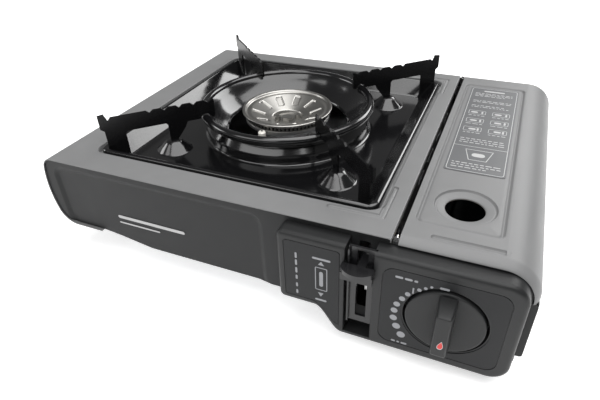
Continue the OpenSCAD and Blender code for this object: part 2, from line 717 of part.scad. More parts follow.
// Cam whose radius grows evenly with the turn of the knob
module ignition_cam() {
  steps = 18;
  rise = [for (i = [0:steps]) (cam_r + plunger_stroke * i / steps)
    * [cos(270 - knob_turn * i / steps), sin(270 - knob_turn * i / steps)]];
  back = arc([0, 0], cam_r - 0.1, 267 - knob_turn, -87, 20);
  color("#e4e2d8") along_y(cam_y, cam_y + cam_t) translate([knob_x, knob_z]) difference() {
    polygon(concat(rise, back));
    circle(4);
  }
}
module knob_disc() {
  back_y = wall_front_y - panel_wall - 0.5;
  front = panel_front_y - 2.5;
  color("#232527") difference() {
    union() {
      along_y(front, back_y) translate([knob_x, knob_z]) circle(knob_r);
    }
    along_y(front + 2.4, back_y + 1) translate([knob_x, knob_z]) difference() {
      circle(knob_r - 2);
      circle(6.5);
    }
    along_y(panel_front_y + 3, back_y + 1) translate([knob_x, knob_z]) circle(4);
  }
}
module knob_bar() {
  half_w = 5;
  base_y = panel_front_y - 2.5;
  tip_y = -141.7;
  color("#26282a") difference() {
    along_x(knob_x - half_w, knob_x + half_w)
      polygon([[base_y, knob_z - 21], [tip_y + 4, knob_z - 20], [tip_y, knob_z - 12], [tip_y, knob_z + 17],
        [tip_y + 3, knob_z + 20], [base_y, knob_z + 21]]);
    box([knob_x - 2, tip_y - 1, knob_z + 6], [knob_x + 2, tip_y + 0.6, knob_z + 7.2]);
    along_y(tip_y - 1, tip_y + 0.4) translate([knob_x + 0.6, knob_z - 1]) circle(3.6);
  }
}
module flame_mark() {
  tip_y = -141.7;
  color("#d8392f") along_y(tip_y + 0.1, tip_y + 0.4) translate([knob_x + 0.6, knob_z - 1]) circle(3.6);
}

module lock_lever() {
  tab_x = lever_x - 1.5;
  tab_z = lever_top_z - 2;
  tab_back = panel_front_y - 0.3;
  tab_r = 12;
  plate_t = 3;
  block_h = 5.4;
  color("#17181a") {
    translate([0, 0, tab_z - plate_t]) linear_extrude(plate_t) intersection() {
      translate([tab_x, panel_front_y + 2.6]) circle(tab_r);
      translate([tab_x - lever_w / 2, tab_back - tab_r]) square([lever_w, tab_r]);
    }
    box([tab_x - lever_w / 2 + 0.4, panel_front_y - 5.6, tab_z - plate_t - block_h],
      [tab_x + lever_w / 2 - 0.4, tab_back, tab_z - plate_t]);
    box([lever_x - 2.6, tab_back - 1, lever_top_z - 9], [lever_x + 2.6, wall_back_y + 1, tab_z - 0.4]);
  }
}
// Plate behind the lever; its slanted slot drives the carriage pin forward as the lever goes down
module lever_plate() {
  slot_half = 2;
  low = [pin_y, pin_z];
  high = [pin_y - carriage_travel, pin_z + lever_travel];
  color("#c4c6c8") along_x(lever_x - 1, lever_x + 1) difference() {
    polygon([[wall_back_y + 1, lever_top_z - 9], [wall_back_y + 1, lever_top_z - 1], [-100, lever_top_z + 2],
      [-92, lever_top_z + 2], [-92, pin_z - 5], [-112, pin_z - 5], [-112, lever_top_z - 9]]);
    translate(low) circle(slot_half);
    translate(high) circle(slot_half);
    polygon([low - [slot_half, 0], low + [slot_half, 0], high + [slot_half, 0], high - [slot_half, 0]]);
  }
}
module carriage_bar() {
  color("#c4c6c8") {
    along_x(lever_x - 2.5, lever_x + 4.5) translate([pin_y, pin_z]) circle(1.5);
    box([lever_x + 2.4, pin_y - 3, pin_z - 3], [93.6, pin_y + 3, pin_z + 3]);
    box([91.2, pin_y - 3, pin_z - 3], [93.6, socket_y + 14, pin_z + 3]);
  }
}
module carriage_yoke() {
  y0 = socket_y + 14;
  color("#c4c6c8") along_y(y0, y0 + 1.6) difference() {
    union() {
      translate([91.2, 30]) square([canister_x - 91.2 + 24, 22]);
      translate([canister_x, canister_z]) circle(24);
    }
    translate([canister_x, canister_z]) circle(17.5);
    translate([canister_x - 17.5, canister_z]) square([35, 40]);
  }
}

// Square dish with sloping sides, drawn g inside, with its upright walls carried up by rise
module pan_dish(g, rise) {
  top = pan_rest_z + rim_h;
  h = pan_side / 2 - rim_w - g;
  low = h - slope;
  z0 = pan_floor_z - sheet + g;
  section = [[-h, top + rise], [h, top + rise], [h, top], [low, z0], [-low, z0], [-h, top]];
  intersection() {
    along_y(burner_y - h - 1, burner_y + h + 1) translate([burner_x, 0]) polygon(section);
    along_x(burner_x - h - 1, burner_x + h + 1) translate([burner_y, 0]) polygon(section);
  }
}
// Half section of the raised ring: up the outer wall, round the rolled edge and down inside
module ring_section() {
  f = pan_floor_z;
  outer_wall = [[ring_foot_r, f], [68.9, f], [67.6, f + 0.9], [67.1, f + 2.6], [67, f + 7.4], [66.1, f + 8.2],
    [65.9, f + 9.6], [65.2, f + 10.8], [63.4, f + 12.4], [62.8, f + 14], [63.3, f + 15.5], [64.8, f + 16.7]];
  inner_slope = [[62.6, f + 18.6], [60.9, f + 16.4], [59, f + 14], [56.4, f + 11.2], [53.2, f + 8],
    [50.6, f + 5.4], [49.6, f + 4.2], [49.3, f + 2.8]];
  rolled_edge = arc([ring_r, bead_z], bead_r, -105, 180, 14);
  polygon(sheet_outline(concat(outer_wall, rolled_edge, inner_slope), sheet));
}
module dome_section() {
  f = pan_floor_z;
  polygon(concat([[dome_r, f - sheet], [dome_r, f], [13, f + 0.4], [6.6, f + 6.8], [4.8, f + 7.9],
    [3, f + dome_h], [0, f + dome_h], [0, f + dome_h - sheet], [2.8, f + dome_h - sheet], [4.4, f + 7.2],
    [6.1, f + 6.1], [12.4, f - 0.2], [12.9, f - sheet]]));
}
// Children at the middle of every dome
module at_domes() {
  for (a = arm_angles)
    translate([burner_x + dome_at * cos(a), burner_y + dome_at * sin(a), 0]) children();
}
module drip_pan() {
  color("#0d0e10") {
    difference() {
      union() {
        pan_dish(0, 0);
        difference() {
          translate([0, 0, pan_rest_z]) linear_extrude(rim_h) pan_outline(0);
          translate([0, 0, pan_rest_z - 1]) linear_extrude(rim_h) pan_outline(-sheet);
        }
      }
      pan_dish(sheet, 2);
      translate([burner_x, burner_y, pan_floor_z - 5]) cylinder(h = 30, r = ring_foot_r);
      at_domes() translate([0, 0, pan_floor_z - 5]) cylinder(h = 10, r = dome_r);
    }
    translate([burner_x, burner_y, 0]) rotate_extrude() ring_section();
    at_domes() rotate_extrude() dome_section();
  }
}
// Upright arm of the pot rest, standing on a dome and in a corner of the pan
module arm(a) {
  rest_z = deck_z + rest_rise;
  under_z = deck_z + 9;
  foot_z = pan_floor_z + 0.02;
  dome_z = foot_z + dome_h;
  tooth = 2;
  tooth_step = 11;
  notch_r = bead_r + 0.9;
  teeth = [for (i = [0:4]) each [[62 + i * tooth_step, rest_z], [64.5 + i * tooth_step, rest_z - tooth],
    [67 + i * tooth_step, rest_z]]];
  tip = [[117, rest_z], [136.5, rest_z], [138.5, rest_z - 2.4], [140.5, rest_z + 3],
    [arm_reach, rest_z + 2.4], [arm_reach, deck_z + 15], [142.4, deck_z + 13]];
  outer_foot = [[142.4, deck_z], [140.2, deck_z - 2.4], [130, foot_z], [128, foot_z], [128, deck_z + 9],
    [126.5, deck_z + 10.5]];
  inner_foot = [[98.5, deck_z + 10.5], [97, deck_z + 9], [97, dome_z], [91, dome_z], [84, under_z - 4],
    [82, under_z], [61, under_z]];
  color("#0d0e10") translate([burner_x, burner_y, 0]) rotate([90, 0, a])
    translate([0, 0, -arm_t / 2]) linear_extrude(arm_t) difference() {
      polygon(concat([[60, under_z + 2], [60, rest_z]], teeth, tip, outer_foot, inner_foot));
      translate([ring_r, bead_z]) circle(notch_r);
      translate([ring_r - notch_r, under_z - 4]) square([2 * notch_r, bead_z + 4 - under_z]);
    }
}
module arm_front_left() { arm(arm_angles[0]); }
module arm_front_right() { arm(arm_angles[1]); }
module arm_rear_left() { arm(arm_angles[2]); }
module arm_rear_right() { arm(arm_angles[3]); }

// Solid inside the lid's outline, drawn t inside the outer face
module lid_section(t, low) {
  translate([lid_start_x, low]) square([corner_at[0] - lid_start_x, deck_z - t - low]);
  translate([lid_start_x, low]) square([right_x - t - lid_start_x, corner_at[1] - low]);
  translate(corner_at) circle(lid_edge_r - t);
}
module lid_plan(t) {
  round_rect([lid_start_x - 40, front_y + t], [right_x - t, rear_y - t], lid_plan_r - t);
}
lid_plan_r = 5;
hole_at = [124.5, -69.7];
module canister_lid() {
  t = sheet;
  lip = 3.4;
  ear_t = 1.2;
  ear_y = wall_back_y + 1.3;
  color("#6d7072") difference() {
    union() {
      difference() {
        intersection() {
          along_y(front_y, rear_y) lid_section(0, lid_skirt_z);
          translate([0, 0, lid_skirt_z]) linear_extrude(60) lid_plan(0);
        }
        intersection() {
          along_y(front_y, rear_y) {
            lid_section(t, lid_skirt_z - 1);
            translate([-1, 0]) lid_section(t, lid_skirt_z - 1);
          }
          translate([0, 0, lid_skirt_z - 2]) linear_extrude(60) lid_plan(t);
        }
        along_y(front_y - 1, rear_y + 1) {
          lid_section(lip, lid_skirt_z - 1);
          translate([-1, 0]) lid_section(lip, lid_skirt_z - 1);
        }
        box([lid_start_x - 3, front_y - 1, lid_skirt_z - 1], [right_x - lip, rear_y + 1, corner_at[1]]);
        translate([hole_at[0], hole_at[1], deck_z - 3]) cylinder(h = 5, r = 17.2);
        translate([0, 0, deck_z - 0.4]) linear_extrude(1) round_rect([99.7, -94.2], [147.9, 123.6], 4);
        translate([0, 0, deck_z - 0.4]) linear_extrude(1) round_rect([110.5, -107.7], [156, -103.7], 1.99);
      }
      translate([hole_at[0], hole_at[1], deck_z]) rotate_extrude()
        polygon([[sight_hole_r, -3.2], [sight_hole_r, -2.4], [sight_hole_r + 1.6, -2.4], [17, -0.4],
          [17.6, -0.4], [17.6, -1.2], [sight_hole_r + 1.8, -3.2]]);
      for (y = [ear_y, 2 * mid_y - ear_y - ear_t])
        along_y(y, y + ear_t) {
          translate([slot_x, hinge_z]) circle(1.75);
          translate([slot_x, hinge_z - 1.4]) square([5.6, 2]);
          translate([lid_start_x, hinge_z - 3]) square([4, 3.4]);
        }
    }
    along_y(front_y, rear_y) translate([slot_x, hinge_z]) circle(hinge_pin_r + fit);
  }
}
module lid_label() {
  color("#2a2c2e") translate([0, 0, deck_z - 0.4]) linear_extrude(0.2)
    round_rect([104.4, -30.8], [143.9, 118.6], 2);
}
module lid_bumper() {
  color("#1c1c1c") box([right_x - sheet - 2.8, mid_y - 6, lid_skirt_z + 0.2],
    [right_x - sheet - 0.1, mid_y + 6, lid_skirt_z + 2.6]);
}

deck_shell();
front_wall();
rear_wall();
base_plate();
canister_tray();
partition_wall();
foot_front_left();
foot_front_right();
foot_rear_left();
foot_rear_right();
hinge_bracket_front();
hinge_bracket_rear();
control_panel();
lever_guide();
lock_overlay();
dial_overlay();
panel_screw_left();
panel_screw_right();
valve_bracket();
regulator_body();
regulator_cap();
regulator_screw_left();
regulator_screw_right();
canister_socket();
jet_nozzle();
cradle_left();
cradle_right();
piezo_body();
piezo_plunger();
igniter_wire();
igniter_bracket();
electrode();
electrode_pin();
mixing_tube();
burner_bracket();
burner_body();
burner_ring();
burner_cap();
cap_screw_left();
cap_screw_right();
cap_nut();
valve_spindle();
ignition_cam();
knob_disc();
knob_bar();
flame_mark();
lock_lever();
lever_plate();
carriage_bar();
carriage_yoke();
drip_pan();
arm_front_left();
arm_front_right();
arm_rear_left();
arm_rear_right();
canister_lid();
lid_label();
lid_bumper();
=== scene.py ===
import json
import math
import bmesh
import bpy
from mathutils import Matrix, Vector
from mathutils.geometry import delaunay_2d_cdt


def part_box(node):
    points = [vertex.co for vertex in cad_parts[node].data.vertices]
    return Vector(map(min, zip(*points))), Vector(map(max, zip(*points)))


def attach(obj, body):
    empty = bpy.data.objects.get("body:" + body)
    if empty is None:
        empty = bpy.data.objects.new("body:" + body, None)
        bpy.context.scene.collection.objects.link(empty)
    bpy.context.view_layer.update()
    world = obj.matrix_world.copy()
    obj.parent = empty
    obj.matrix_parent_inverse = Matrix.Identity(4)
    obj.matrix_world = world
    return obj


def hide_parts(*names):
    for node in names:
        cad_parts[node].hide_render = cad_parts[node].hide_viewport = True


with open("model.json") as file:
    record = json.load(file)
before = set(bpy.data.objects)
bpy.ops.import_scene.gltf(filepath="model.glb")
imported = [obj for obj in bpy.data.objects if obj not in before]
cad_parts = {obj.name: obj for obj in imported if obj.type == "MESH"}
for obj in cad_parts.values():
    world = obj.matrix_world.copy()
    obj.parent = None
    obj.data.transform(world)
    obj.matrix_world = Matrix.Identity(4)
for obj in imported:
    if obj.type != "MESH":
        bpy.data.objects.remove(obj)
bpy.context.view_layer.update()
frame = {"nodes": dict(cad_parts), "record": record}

MM = 0.001
nodes = frame["nodes"]


# ---------------------------------------------------------------- sizes, in millimetres
def span(node):
    """Lowest and highest corner of a CAD node, in millimetres."""
    low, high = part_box(node)
    return [v / MM for v in low], [v / MM for v in high]


deck_low, deck_high = span("deck_shell")
pan_low, pan_high = span("drip_pan")
lid_low, lid_high = span("canister_lid")
panel_low, panel_high = span("control_panel")
disc_low, disc_high = span("knob_disc")
cap_low, cap_high = span("burner_cap")

SHEET = 0.8
WELD = 0.004  # vertices closer than this become one
SHARP_ANGLE = 32  # degrees, edges sharper than this are rounded
LEFT_X, FRONT_Y = deck_low[0], deck_low[1]
DECK_END_X, REAR_Y, DECK_Z = deck_high
RIGHT_X = lid_high[0]
LID_X = DECK_END_X + 3.8
SKIRT_Z = lid_low[2]
PAN_X = (pan_low[0] + pan_high[0]) / 2
PAN_Y = (pan_low[1] + pan_high[1]) / 2
PAN_HALF = (pan_high[0] - pan_low[0]) / 2
PAN_RIM_Z = DECK_Z + 0.4
PAN_FLOOR_Z = DECK_Z - 12
PANEL_Y = panel_low[1]
KNOB_X = (disc_low[0] + disc_high[0]) / 2
KNOB_Z = (disc_low[2] + disc_high[2]) / 2
KNOB_R = (disc_high[0] - disc_low[0]) / 2
KNOB_GAP = 1.4
TIP_Y = span("knob_bar")[0][1]
# Middle of the whole lever, which lies 1.5 mm left of its stem and guide; report.md lists this fault.
LEVER_X = sum(c[0] for c in span("lock_lever")) / 2
CAP_TOP = cap_high[2]
HEEL_END_X = LEFT_X + 41
LID_EDGE_R = 21
LID_CORNER = (RIGHT_X - LID_EDGE_R, DECK_Z - LID_EDGE_R)
OVERLAY_Y = span("dial_overlay")[0][1]


# ---------------------------------------------------------------- outlines
def arc(cx, cy, r, start, end, n):
    """Points on an arc, in degrees."""
    turns = [math.radians(start + (end - start) * i / n) for i in range(n + 1)]
    return [(cx + r * math.cos(a), cy + r * math.sin(a)) for a in turns]


def circle(cx, cy, r, n=64):
    return arc(cx, cy, r, 0, 360 - 360 / n, n - 1)


def round_rect(x0, y0, x1, y1, r, n=6):
    """Rectangle with round corners, anticlockwise from the right end of its lower side."""
    return (arc(x1 - r, y0 + r, r, -90, 0, n) + arc(x1 - r, y1 - r, r, 0, 90, n)
            + arc(x0 + r, y1 - r, r, 90, 180, n) + arc(x0 + r, y0 + r, r, 180, 270, n))


def corner_stroke(x, y, run, r, flip=1, n=6):
    """Outline of an L-shaped stroke of half width r, with its corner at x, y."""
    points = ([(-run, -r)] + arc(0, 0, r, -90, 0, n) + arc(0, run, r, 0, 180, n)
              + [(-r, r)] + arc(-run, 0, r, 90, 270, n)[:-1])
    return [(x + px, y + flip * py) for px, py in points]


def split_edges(loop, step):
    """Loop with points added so that no edge is longer than step."""
    dense = []
    for a, b in zip(loop, loop[1:] + loop[:1]):
        steps = max(1, math.ceil(math.dist(a, b) / step))
        dense += [(a[0] + (b[0] - a[0]) * i / steps, a[1] + (b[1] - a[1]) * i / steps) for i in range(steps)]
    return dense


def ease(t):
    t = min(1.0, max(0.0, t))
    return t * t * (3 - 2 * t)


def s_step(x0, z0, x1, z1, n=10):
    """S-shaped step from a high to a low level."""
    return [(x0 + (x1 - x0) * i / n, z1 + (z0 - z1) * (1 + math.cos(math.pi * i / n)) / 2)
            for i in range(n + 1)]


# ---------------------------------------------------------------- mesh work
class Shape:
    """Vertices and faces, gathered in millimetres."""

    def __init__(self):
        self.verts = []
        self.faces = []

    def ring(self, points):
        first = len(self.verts)
        self.verts.extend(points)
        return list(range(first, len(self.verts)))

    def bridge(self, a, b, closed=True):
        for i in range(len(a) if closed else len(a) - 1):
            j = (i + 1) % len(a)
            self.faces.append((a[i], a[j], b[j], b[i]))

    def loft(self, rings, closed=True):
        ids = [self.ring(r) for r in rings]
        for a, b in zip(ids, ids[1:]):
            self.bridge(a, b, closed)
        return ids

    def fill(self, outer, holes=(), axes=(0, 1), extra=()):
        """Face between an outer ring and the rings of its holes, through any extra points."""
        ids = list(outer)
        for hole in holes:
            ids += hole
        ids += self.ring(extra)
        flat = [Vector([self.verts[i][a] for a in axes]) for i in ids]
        edges = []
        first = 0
        for ring in [outer, *holes]:
            edges += [(first + i, first + (i + 1) % len(ring)) for i in range(len(ring))]
            first += len(ring)
        places, _, triangles, sources, _, _ = delaunay_2d_cdt(flat, edges, [], 1, 1e-6)
        known = {}
        for i, (place, source) in enumerate(zip(places, sources)):
            if source:
                known[i] = ids[source[0]]
            else:
                spot = list(self.verts[ids[0]])
                spot[axes[0]], spot[axes[1]] = place
                known[i] = self.ring([tuple(spot)])[0]
        gaps = []
        first = len(outer)
        for hole in holes:
            gaps.append(flat[first:first + len(hole)])
            first += len(hole)
        for tri in triangles:
            middle = sum((places[i] for i in tri), Vector((0, 0))) / 3
            if not any(inside(middle, gap) for gap in gaps):
                self.faces.append(tuple(known[i] for i in tri))

    def press(self, outline, profile, place, bottom=True, axes=(0, 1)):
        """Pressed feature: outline(inset) carried down a profile of (inset, depth) pairs."""
        ids = self.loft([[place(u, v, depth) for u, v in outline(inset)] for inset, depth in profile])
        if bottom:
            self.fill(ids[-1], axes=axes)
        return ids[0]

    def prism(self, outline, place, height, axes, hole=None):
        """Flat plate of an outline, with an optional hole."""
        low = self.ring([place(u, v, 0) for u, v in outline])
        high = self.ring([place(u, v, height) for u, v in outline])
        self.bridge(low, high)
        holes = [[], []]
        if hole:
            holes = [[self.ring([place(u, v, h) for u, v in hole])] for h in (0, height)]
            self.bridge(holes[0][0], holes[1][0])
        self.fill(low, holes[0], axes)
        self.fill(high, holes[1], axes)

    def lathe(self, profile, n, place):
        """Turned shape: a profile of (radius, height) pairs."""
        rings = []
        for r, h in profile:
            rings.append([place(r * math.cos(2 * math.pi * i / n), r * math.sin(2 * math.pi * i / n), h)
                          for i in range(n)])
        return self.loft(rings)


def inside(p, ring):
    hit = False
    for a, b in zip(ring, ring[1:] + ring[:1]):
        if (a.y > p.y) != (b.y > p.y) and p.x < (b.x - a.x) * (p.y - a.y) / (b.y - a.y) + a.x:
            hit = not hit
    return hit


def piece(name, shape, material, body, replaced, outward=(0, 0, 1), smooth=35):
    mesh = bpy.data.meshes.new(name)
    mesh.from_pydata([Vector(v) * MM for v in shape.verts], [], shape.faces)
    bm = bmesh.new()
    bm.from_mesh(mesh)
    bmesh.ops.remove_doubles(bm, verts=bm.verts, dist=WELD * MM)
    bmesh.ops.dissolve_degenerate(bm, edges=bm.edges, dist=WELD * MM / 4)
    bmesh.ops.recalc_face_normals(bm, faces=bm.faces)
    turn_faces(bm, Vector(outward))
    for face in bm.faces:
        face.smooth = True
    for edge in bm.edges:
        edge.smooth = len(edge.link_faces) == 2 and edge.calc_face_angle() < math.radians(smooth)
    bm.to_mesh(mesh)
    bm.free()
    obj = bpy.data.objects.new(name, mesh)
    bpy.context.scene.collection.objects.link(obj)
    mesh.materials.append(material)
    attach(obj, body)
    if replaced:
        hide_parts(*replaced)
    return obj


def turn_faces(bm, way):
    """Flips each separate part whose outermost face along way looks the other way."""
    bm.faces.ensure_lookup_table()
    seen = set()
    for start in bm.faces:
        if start.index in seen:
            continue
        part = [start]
        seen.add(start.index)
        for face in part:
            for edge in face.edges:
                for other in edge.link_faces:
                    if other.index not in seen:
                        seen.add(other.index)
                        part.append(other)
        flat = [f for f in part if abs(f.normal.dot(way)) > 0.5] or part
        top = max(flat, key=lambda f: f.calc_center_median().dot(way))
        if top.normal.dot(way) < 0:
            bmesh.ops.reverse_faces(bm, faces=part)


def thicken(obj, thickness, even=True):
    """Gives a sheet its thickness, away from its outer face."""
    mod = obj.modifiers.new("thickness", "SOLIDIFY")
    mod.thickness = thickness * MM
    mod.offset = -1
    mod.use_even_offset = even
    mod.thickness_clamp = 1


def soften(obj, width):
    """Rounds the sharp edges of a solid."""
    mod = obj.modifiers.new("edges", "BEVEL")
    mod.width = width * MM
    mod.segments = 2
    mod.limit_method = "ANGLE"
    mod.angle_limit = math.radians(SHARP_ANGLE)
    mod.miter_outer = "MITER_ARC"
    mod.harden_normals = True


def even_shading(obj):
    mod = obj.modifiers.new("shading", "WEIGHTED_NORMAL")
    mod.keep_sharp = True
    mod.weight = 80


# ---------------------------------------------------------------- materials
def material(name, color, rough=0.5, metallic=0.0, grain=0.5, bump=0.01, vary=0.06, vary_size=14.0,
             rough_vary=0.08, coat=0.0, coat_rough=0.08, stretch=(1, 1, 1), specular=0.5, fleck=0.0):
    """Shader with a fine grain, a slow change of colour and a change of roughness; sizes in millimetres."""
    mat = bpy.data.materials.new(name)
    mat.use_nodes = True
    tree = mat.node_tree
    shader = tree.nodes["Principled BSDF"]
    shader.inputs["Metallic"].default_value = metallic
    shader.inputs["Coat Weight"].default_value = coat
    shader.inputs["Coat Roughness"].default_value = coat_rough
    shader.inputs["Specular IOR Level"].default_value = specular
    coords = tree.nodes.new("ShaderNodeTexCoord")
    stretched = tree.nodes.new("ShaderNodeMapping")
    stretched.inputs["Scale"].default_value = stretch
    tree.links.new(coords.outputs["Object"], stretched.inputs["Vector"])

    def noise(size, detail, source):
        node = tree.nodes.new("ShaderNodeTexNoise")
        node.inputs["Scale"].default_value = 1 / (size * MM)
        node.inputs["Detail"].default_value = detail
        tree.links.new(source.outputs[0 if source is stretched else "Object"], node.inputs["Vector"])
        return node

    cloud = noise(vary_size, 4, coords)
    fine = noise(grain, 3, stretched)
    shade = tree.nodes.new("ShaderNodeMix")
    shade.data_type = "RGBA"
    shade.inputs["A"].default_value = (*[c * (1 - vary) for c in color], 1)
    shade.inputs["B"].default_value = (*[min(1.0, c * (1 + vary)) for c in color], 1)
    tree.links.new(cloud.outputs["Fac"], shade.inputs["Factor"])
    colour_out = shade.outputs["Result"]
    if fleck:
        ramp = tree.nodes.new("ShaderNodeMapRange")
        ramp.inputs["From Min"].default_value = 0.56
        ramp.inputs["From Max"].default_value = 0.7
        ramp.inputs["To Max"].default_value = fleck
        tree.links.new(fine.outputs["Fac"], ramp.inputs["Value"])
        light = tree.nodes.new("ShaderNodeMix")
        light.data_type = "RGBA"
        light.inputs["B"].default_value = (*[min(1.0, c * 2 + 0.05) for c in color], 1)
        tree.links.new(ramp.outputs["Result"], light.inputs["Factor"])
        tree.links.new(colour_out, light.inputs["A"])
        colour_out = light.outputs["Result"]
    tree.links.new(colour_out, shader.inputs["Base Color"])
    gloss = tree.nodes.new("ShaderNodeMapRange")
    gloss.inputs["To Min"].default_value = max(0.02, rough - rough_vary)
    gloss.inputs["To Max"].default_value = min(1.0, rough + rough_vary)
    tree.links.new(cloud.outputs["Fac"], gloss.inputs["Value"])
    tree.links.new(gloss.outputs["Result"], shader.inputs["Roughness"])
    relief = tree.nodes.new("ShaderNodeBump")
    relief.inputs["Distance"].default_value = bump * MM
    relief.inputs["Strength"].default_value = 1
    tree.links.new(fine.outputs["Fac"], relief.inputs["Height"])
    tree.links.new(relief.outputs["Normal"], shader.inputs["Normal"])
    return mat


MATERIALS = {
    "deck_enamel": material("deck_enamel", (0.19, 0.191, 0.192), 0.42, grain=0.45, bump=0.012, fleck=0.05,
                            specular=0.35),
    # Same enamel as the deck, made ten times darker: painted shade for the front wall, whose face the
    # overhead light does not reach
    "wall_enamel": material("wall_enamel", (0.019, 0.0195, 0.02), 0.48, grain=0.45, bump=0.012, fleck=0.05,
                            specular=0.22),
    "zinc_sheet": material("zinc_sheet", (0.5, 0.51, 0.52), 0.38, metallic=1, grain=3, bump=0.01, vary=0.2),
    "foot_rubber": material("foot_rubber", (0.02, 0.02, 0.02), 0.75, grain=0.3, bump=0.03),
    "panel_plastic": material("panel_plastic", (0.017, 0.0175, 0.018), 0.42, grain=0.25, bump=0.012,
                              specular=0.3),
    "guide_plastic": material("guide_plastic", (0.012, 0.012, 0.013), 0.2, grain=0.6, bump=0.002),
    "overlay_film": material("overlay_film", (0.018, 0.0185, 0.0195), 0.48, grain=0.2, bump=0.006,
                             specular=0.22),
    "screw_steel": material("screw_steel", (0.62, 0.62, 0.62), 0.25, metallic=1, grain=0.3, bump=0.006),
    "cast_aluminium": material("cast_aluminium", (0.62, 0.62, 0.62), 0.42, metallic=1, grain=0.7, bump=0.04),
    "brass": material("brass", (0.78, 0.58, 0.28), 0.26, metallic=1, grain=0.4, bump=0.006, vary=0.12),
    "nickel": material("nickel", (0.36, 0.353, 0.335), 0.34, metallic=1, grain=0.6, bump=0.004, vary=0.04),
    "ceramic_white": material("ceramic_white", (0.82, 0.8, 0.74), 0.28, grain=0.5, bump=0.006, coat=0.4),
    "igniter_black": material("igniter_black", (0.02, 0.02, 0.022), 0.45, grain=0.25, bump=0.012),
    "lead_red": material("lead_red", (0.4, 0.03, 0.03), 0.5, grain=0.8, bump=0.02),
    "knob_plastic": material("knob_plastic", (0.018, 0.0185, 0.019), 0.44, grain=0.25, bump=0.012,
                             specular=0.28),
    "cam_plastic": material("cam_plastic", (0.7, 0.69, 0.64), 0.45, grain=0.3, bump=0.01),
    "flame_red": material("flame_red", (0.62, 0.03, 0.025), 0.35, grain=0.3, bump=0.003),
    "pan_enamel": material("pan_enamel", (0.005, 0.005, 0.0055), 0.16, grain=2.6, bump=0.012, rough_vary=0.04,
                           coat=0.6, coat_rough=0.09),
    "arm_enamel": material("arm_enamel", (0.005, 0.005, 0.0055), 0.24, grain=1.2, bump=0.02, rough_vary=0.06,
                           specular=0.25),
    "label_film": material("label_film", (0.105, 0.108, 0.112), 0.42, grain=0.3, bump=0.004),
    "print_grey": material("print_grey", (0.27, 0.275, 0.29), 0.5, grain=0.3, bump=0.004, vary=0.1),
    "print_white": material("print_white", (0.46, 0.46, 0.46), 0.5, grain=0.3, bump=0.004, vary=0.1),
}


# ---------------------------------------------------------------- camera, floor and light
def make_camera():
    eye = Vector((132.0, -326.0, 259.3)) * MM
    azimuth, elevation, roll = (math.radians(a) for a in (-24.29, 34.84, -2.13))
    ahead = Vector((math.sin(azimuth) * math.cos(elevation), math.cos(azimuth) * math.cos(elevation),
                    -math.sin(elevation)))
    right = ahead.cross(Vector((0, 0, 1))).normalized()
    up = right.cross(ahead)
    turned_right = math.cos(roll) * right + math.sin(roll) * up
    turned_up = math.cos(roll) * up - math.sin(roll) * right
    cam = bpy.data.objects.new("camera", bpy.data.cameras.new("camera"))
    cam.matrix_world = Matrix.Translation(eye) @ Matrix(
        (turned_right, turned_up, -ahead)).transposed().to_4x4()
    cam.data.lens = 29.57
    cam.data.sensor_width = 36
    cam.data.clip_start = 0.01
    bpy.context.scene.collection.objects.link(cam)
    bpy.context.scene.camera = cam


def area_light(name, place, aim, size, power):
    data = bpy.data.lights.new(name, "AREA")
    data.shape = "RECTANGLE"
    data.size, data.size_y = size
    data.energy = power
    light = bpy.data.objects.new(name, data)
    light.location = place
    light.rotation_euler = (Vector(aim) - Vector(place)).to_track_quat("-Z", "Y").to_euler()
    bpy.context.scene.collection.objects.link(light)


def make_studio():
    size = 6.0
    mesh = bpy.data.meshes.new("floor")
    corners = [(-size, -size, 0), (size, -size, 0), (size, size, 0), (-size, size, 0)]
    mesh.from_pydata(corners, [], [(0, 1, 2, 3)])
    floor = bpy.data.objects.new("floor", mesh)
    bpy.context.scene.collection.objects.link(floor)
    mat = bpy.data.materials.new("floor")
    mat.use_nodes = True
    shader = mat.node_tree.nodes["Principled BSDF"]
    shader.inputs["Base Color"].default_value = (0.9, 0.9, 0.9, 1)
    shader.inputs["Roughness"].default_value = 0.9
    shader.inputs["Emission Color"].default_value = (1, 1, 1, 1)
    shader.inputs["Emission Strength"].default_value = 0.5
    mesh.materials.append(mat)
    world = bpy.data.worlds.new("studio")
    world.use_nodes = True
    world.node_tree.nodes["Background"].inputs["Color"].default_value = (1, 1, 1, 1)
    world.node_tree.nodes["Background"].inputs["Strength"].default_value = 0.14
    bpy.context.scene.world = world
    area_light("key", (0.3, 0.0, 1.45), (0.1, 0, 0.05), (1.9, 1.4), 29)
    area_light("left", (-1.5, -0.3, 0.7), (-0.1, 0, 0.08), (0.6, 0.5), 4)
    area_light("rear", (0.62, 1.4, 0.95), (0.12, 0, 0.08), (0.95, 0.6), 10)
    area_light("front", (-0.4, -1.0, 1.0), (0, 0, 0.08), (1.3, 0.6), 6)
    bpy.context.scene.view_settings.view_transform = "Standard"


make_camera()
make_studio()


# ---------------------------------------------------------------- pressed top of the stove
def top(u, v, depth):
    """Point on the top face, pressed in by depth."""
    return (u, v, DECK_Z - depth)


def left_end(t):
    """Section of the deck's left end, drawn t inside its outer face."""
    shoulder_r, bulge_r, heel_r, tilt = 10, 75, 15.5, 15
    sx = LEFT_X + bulge_r - (bulge_r - shoulder_r) * math.cos(math.radians(tilt))
    sz = DECK_Z - shoulder_r
    bx = sx - (bulge_r - shoulder_r) * math.cos(math.radians(180 - tilt))
    bz = sz - (bulge_r - shoulder_r) * math.sin(math.radians(180 - tilt))
    hx = bx + (bulge_r - heel_r) * math.cos(math.radians(180 + tilt))
    hz = bz + (bulge_r - heel_r) * math.sin(math.radians(180 + tilt))
    return (arc(sx, sz, shoulder_r - t, 90, 180 - tilt, 10)[:-1]
            + arc(bx, bz, bulge_r - t, 180 - tilt, 180 + tilt, 10)[:-1]
            + arc(hx, hz, heel_r - t, 180 + tilt, 270, 10))


